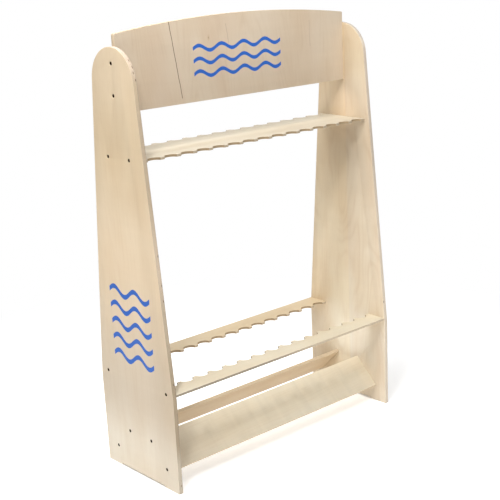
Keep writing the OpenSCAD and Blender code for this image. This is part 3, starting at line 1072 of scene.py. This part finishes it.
def make_screws():
    low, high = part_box(SCREW_NODES[0])
    length = high.x - low.x
    template = new_object("screw template", screw_body(length))
    for seed, name in enumerate(SCREW_NODES):
        heading = 0.0 if name.endswith("_left") else math.pi
        mesh = made_by(
            screws_on_places,
            points_mesh("screw places", screw_places(name)),
            {"Screw": template, "Length": length, "Heading": heading, "Seed": seed, "Finish": SCREW_BLACK},
            "black_" + name,
        )
        for face in mesh.polygons:
            face.use_smooth = True
        mesh.set_sharp_from_angle(angle=ARRIS_FROM)
        finish_piece(new_object("black_" + name, mesh), name)
    bpy.data.objects.remove(template)


board_from_node("left_side_panel", PANEL_ARRIS)
board_from_node("right_side_panel", PANEL_ARRIS)
board_from_node("header_board", BOARD_ARRIS)
board_from_node("front_butt_board", BOARD_ARRIS)
board_from_node("rear_butt_board", BOARD_ARRIS)
notched(
    "upper_rod_shelf", SHELF_NOTCH_DEEP, front=True, rear=True,
    screw_nodes=["shelf_screws_left", "shelf_screws_right"],
)
notched(
    "front_rod_rail", RAIL_NOTCH_DEEP, front=False, rear=True,
    screw_nodes=["front_rail_screw_left", "front_rail_screw_right"],
)
notched(
    "rear_rod_rail", RAIL_NOTCH_DEEP, front=True, rear=False,
    screw_nodes=["rear_rail_screw_left", "rear_rail_screw_right"],
)
make_screws()


# Stage

def make_camera():
    forward = Vector((
        math.sin(CAMERA_YAW) * math.cos(CAMERA_PITCH),
        math.cos(CAMERA_YAW) * math.cos(CAMERA_PITCH),
        -math.sin(CAMERA_PITCH),
    ))
    level = Vector((math.cos(CAMERA_YAW), -math.sin(CAMERA_YAW), 0))
    upward = level.cross(forward)
    right = level * math.cos(CAMERA_ROLL) + upward * math.sin(CAMERA_ROLL)
    top = upward * math.cos(CAMERA_ROLL) - level * math.sin(CAMERA_ROLL)
    data = bpy.data.cameras.new("camera")
    data.lens = CAMERA_LENS
    data.sensor_width = CAMERA_FILM
    data.shift_x, data.shift_y = CAMERA_SHIFT
    camera = new_object("camera", data)
    turn = Matrix((right, top, -forward)).transposed().to_4x4()
    camera.matrix_world = Matrix.Translation(CAMERA_AT) @ turn
    bpy.context.scene.camera = camera


def area_light(name, place, aim, size, power, color):
    data = bpy.data.lights.new(name, "AREA")
    data.shape = "RECTANGLE"
    data.size, data.size_y = size
    data.energy = power
    data.color = color
    lamp = new_object(name, data)
    lamp.location = place
    lamp.rotation_mode = "QUATERNION"
    lamp.rotation_quaternion = (Vector(aim) - Vector(place)).to_track_quat("-Z", "Y")


def make_sky():
    world = bpy.data.worlds.new("sky")
    bpy.context.scene.world = world
    world.use_nodes = True
    world.node_tree.nodes.clear()
    t = Tree(world.node_tree)
    soft = t.add("ShaderNodeBackground", {"Color": (1, 1, 1, 1), "Strength": SKY_STRENGTH})
    white = t.add("ShaderNodeBackground", {"Color": (1, 1, 1, 1), "Strength": 1.0})
    path = t.add("ShaderNodeLightPath").outputs
    seen = t.math("MAXIMUM", path["Is Camera Ray"], path["Is Glossy Ray"])
    shown = t.add("ShaderNodeMixShader", {0: seen, 1: soft.outputs[0], 2: white.outputs[0]})
    t.add("ShaderNodeOutputWorld", {"Surface": shown.outputs[0]})


def foot_contact(t, place):
    """From CONTACT_GLOW under either panel's feet to 1 a little way off them."""
    low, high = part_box("left_side_panel")
    across, deep, _ = t.split(place)
    mirrored = t.xyz(t.math("MULTIPLY", t.math("ABSOLUTE", across), -1.0), deep, 0.0)
    from_foot = t.vector("ABSOLUTE", t.vector("SUBTRACT", mirrored, middle_of("left_side_panel")))
    outside = t.vector("MAXIMUM", t.vector("SUBTRACT", from_foot, (high - low) / 2), (0.0, 0.0, 0.0))
    off_foot = t.vector("LENGTH", t.vector("MULTIPLY", outside, (1.0, 1.0, 0.0)))
    return t.step(off_foot, 0.0, CONTACT_REACH, CONTACT_GLOW, 1.0)


def make_floor():
    """A pale floor that keeps the rack's shadow near it and runs out into white further off."""
    mesh = bpy.data.meshes.new("floor")
    far = FLOOR_HALF
    mesh.from_pydata([(-far, -far, 0), (far, -far, 0), (far, far, 0), (-far, far, 0)], [], [(0, 1, 2, 3)])
    floor = new_object("floor", mesh)
    material, t, surface = new_material("pale floor")
    surface.inputs["Base Color"].default_value = FLOOR_WHITE
    surface.inputs["Roughness"].default_value = FLOOR_ROUGH
    surface.inputs["Specular IOR Level"].default_value = FLOOR_GLOSS
    place = t.add("ShaderNodeTexCoord").outputs["Object"]
    away = t.vector("LENGTH", place)
    gone = t.step(away, *FLOOR_FADE)
    seen = t.add("ShaderNodeLightPath").outputs["Is Camera Ray"]
    near_glow = t.step(away, *FLOOR_GLOW_STEP, FLOOR_GLOW_UNDER, FLOOR_GLOW_AROUND)
    unseen_glow = t.math("MULTIPLY", near_glow, t.step(away, *FLOOR_GLOW_END, 1.0, 0.0))
    unseen_glow = t.math("MULTIPLY", unseen_glow, t.math("SUBTRACT", 1.0, seen))
    # What is seen of the glow fades out under the panels' feet, where the floor lies in their shade
    seen_glow = t.math("MULTIPLY", t.math("MULTIPLY", seen, FLOOR_GLOW_SEEN), foot_contact(t, place))
    glow = t.math("ADD", seen_glow, unseen_glow)
    lit = t.add("ShaderNodeEmission", {"Color": (1, 1, 1, 1), "Strength": glow})
    near = t.add("ShaderNodeAddShader", {0: surface.outputs[0], 1: lit.outputs[0]})
    white = t.add("ShaderNodeEmission", {"Color": (1, 1, 1, 1), "Strength": 1.0})
    shown = t.add(
        "ShaderNodeMixShader", {0: t.math("MULTIPLY", gone, seen), 1: near.outputs[0], 2: white.outputs[0]}
    )
    output = next(n for n in material.node_tree.nodes if n.bl_idname == "ShaderNodeOutputMaterial")
    t.link(shown.outputs[0], output.inputs["Surface"])
    mesh.materials.append(material)


make_camera()
for light in LIGHTS:
    area_light(*light)
make_sky()
make_floor()
bpy.context.scene.view_settings.view_transform = "Standard"
